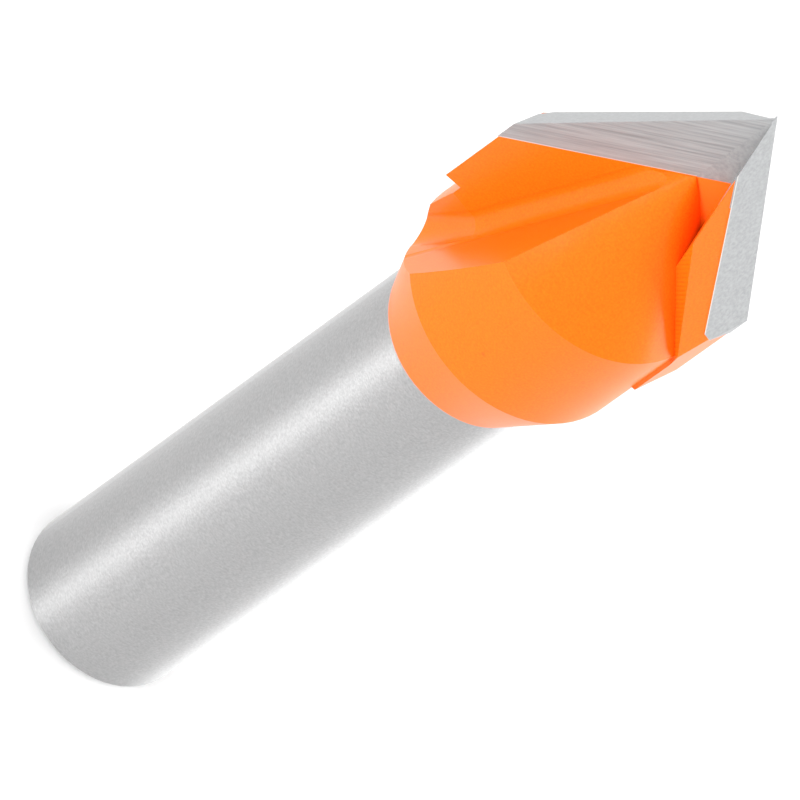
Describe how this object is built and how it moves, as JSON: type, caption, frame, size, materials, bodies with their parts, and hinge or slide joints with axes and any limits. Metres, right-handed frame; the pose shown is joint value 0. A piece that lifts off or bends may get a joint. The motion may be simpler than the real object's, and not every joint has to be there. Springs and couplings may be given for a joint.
{
  "type": "v groove router bit",
  "caption": "V groove router bit: plain round shank, orange coated two-winged steel head, and two ground hard metal inserts meeting at a 60 degree point.",
  "frame": {"origin": "centre of the shank's end face", "axes": "+Z along the tool axis, from the shank end to the cutting point; +X through the cutting corner of wing one, whose cutting face looks toward +Y"},
  "size_m": [0.0126, 0.011, 0.052],
  "materials": {
    "coated_steel": "head coated orange, shank bare ground steel",
    "ground_carbide": "ground hard metal"
  },
  "bodies": {
    "root": {"body": "coated_steel", "insert_1": "ground_carbide", "insert_2": "ground_carbide"}
  },
  "joints": []
}
